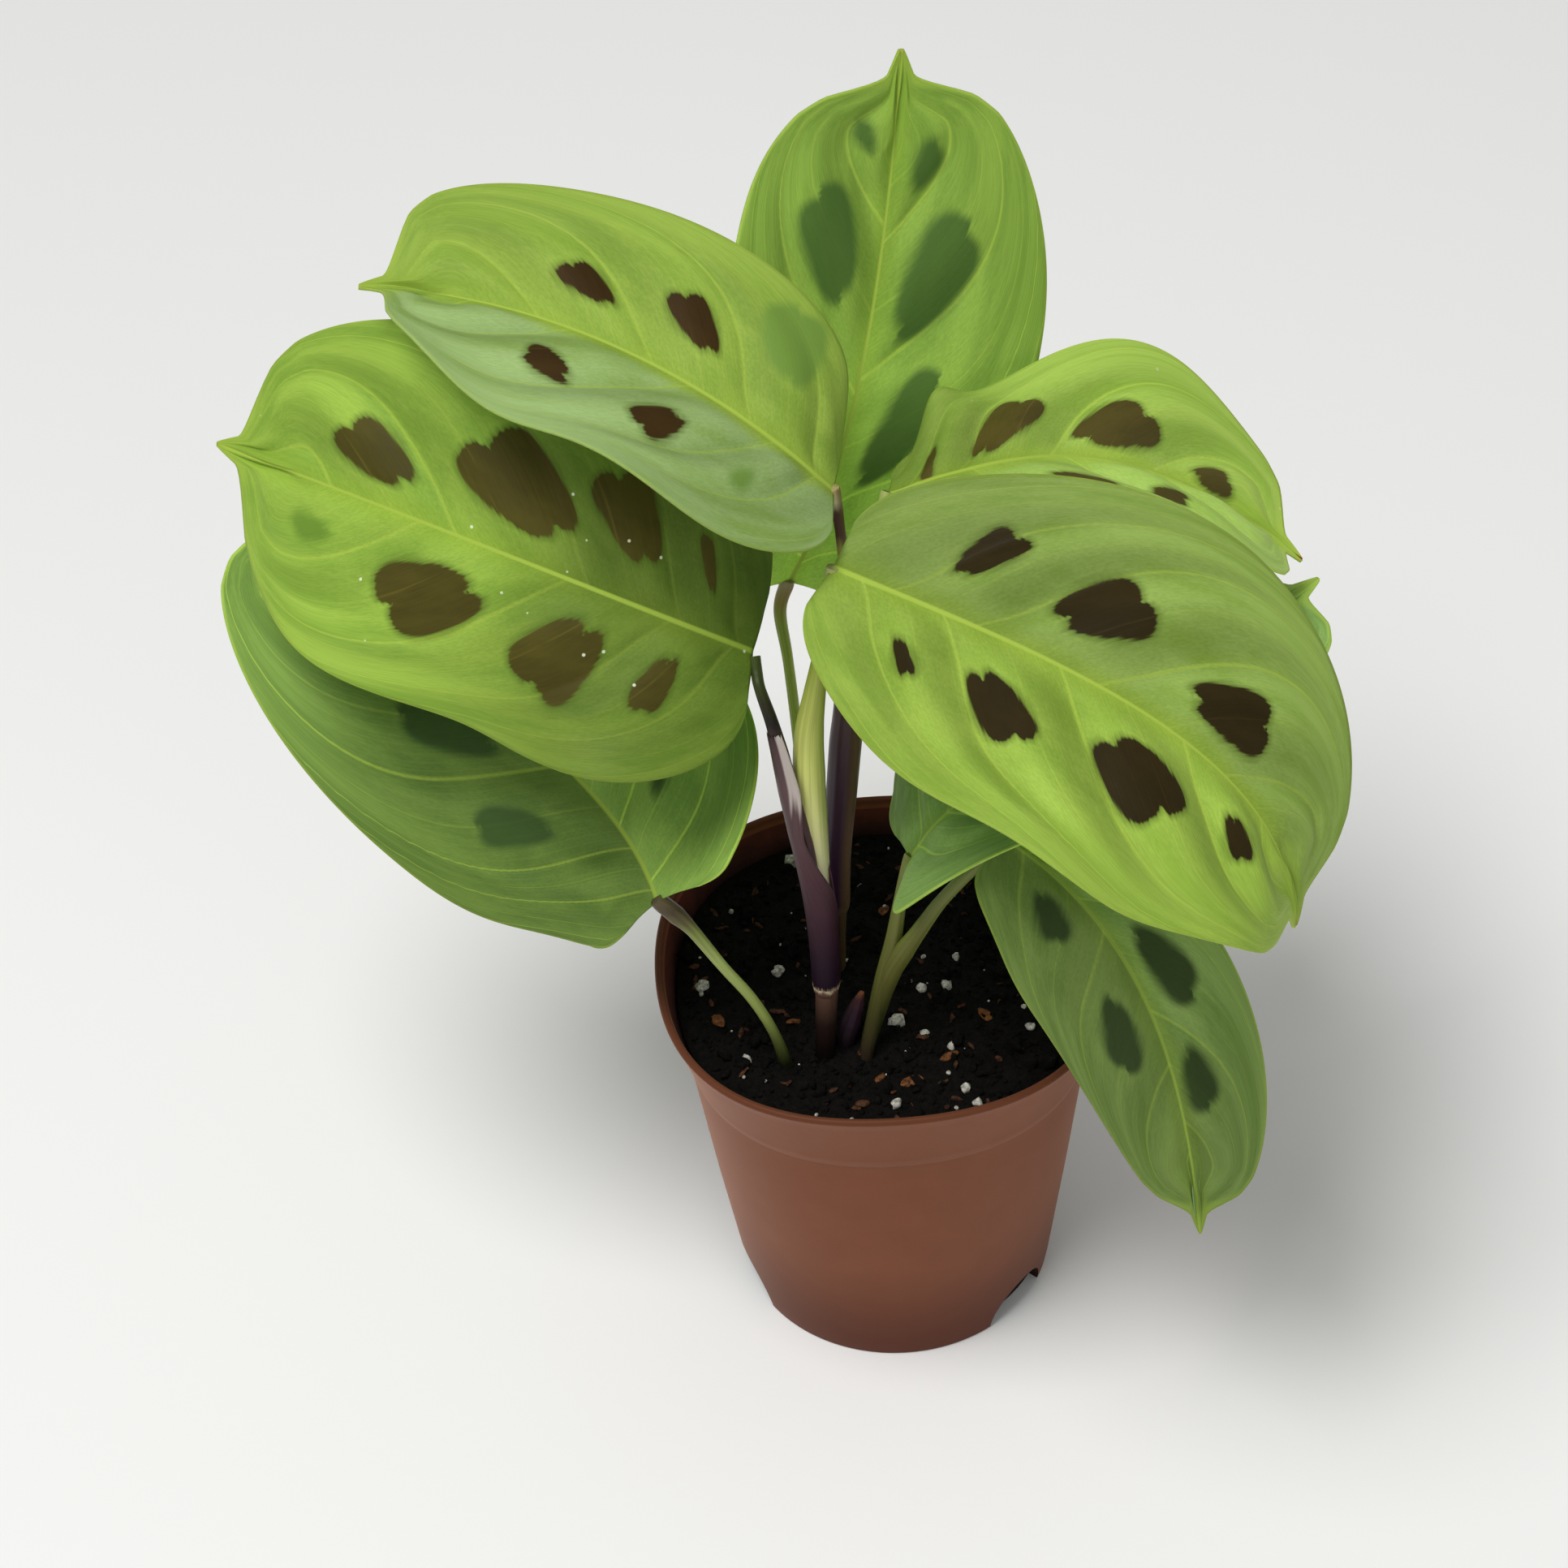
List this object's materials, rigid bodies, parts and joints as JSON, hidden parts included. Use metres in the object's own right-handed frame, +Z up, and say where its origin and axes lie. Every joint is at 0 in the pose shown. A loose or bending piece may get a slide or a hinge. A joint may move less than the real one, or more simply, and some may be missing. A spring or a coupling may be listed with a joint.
{
  "type": "potted prayer plant",
  "caption": "Young prayer plant with dark-blotched green leaves on purple and green stems, growing in a small brown plastic nursery pot with a softly squared mouth.",
  "frame": {"origin": "middle of the pot's flat underside", "axes": "+Z up, +X to the right as the plant is seen, +Y away from the viewer"},
  "size_m": [0.2044, 0.1417, 0.2421],
  "materials": {
    "pot_plastic": "satin",
    "potting_mix": "matte",
    "purple_stem": "satin",
    "pale_stem": "satin",
    "green_stem": "satin",
    "leaf": "satin"
  },
  "bodies": {
    "root": {"pot": "pot_plastic", "soil": "potting_mix", "shoot_front": "purple_stem", "shoot_pale": "pale_stem", "shoot_back": "purple_stem", "petiole_back": "green_stem", "petiole_left": "green_stem", "shoot_right": "green_stem", "bud": "purple_stem", "leaf_back": "leaf", "leaf_upper_left": "leaf", "leaf_right_back": "leaf", "leaf_front_right": "leaf", "leaf_left": "leaf", "leaf_lower_left": "leaf", "leaf_lower_right": "leaf", "leaf_under_right": "leaf"}
  },
  "joints": []
}
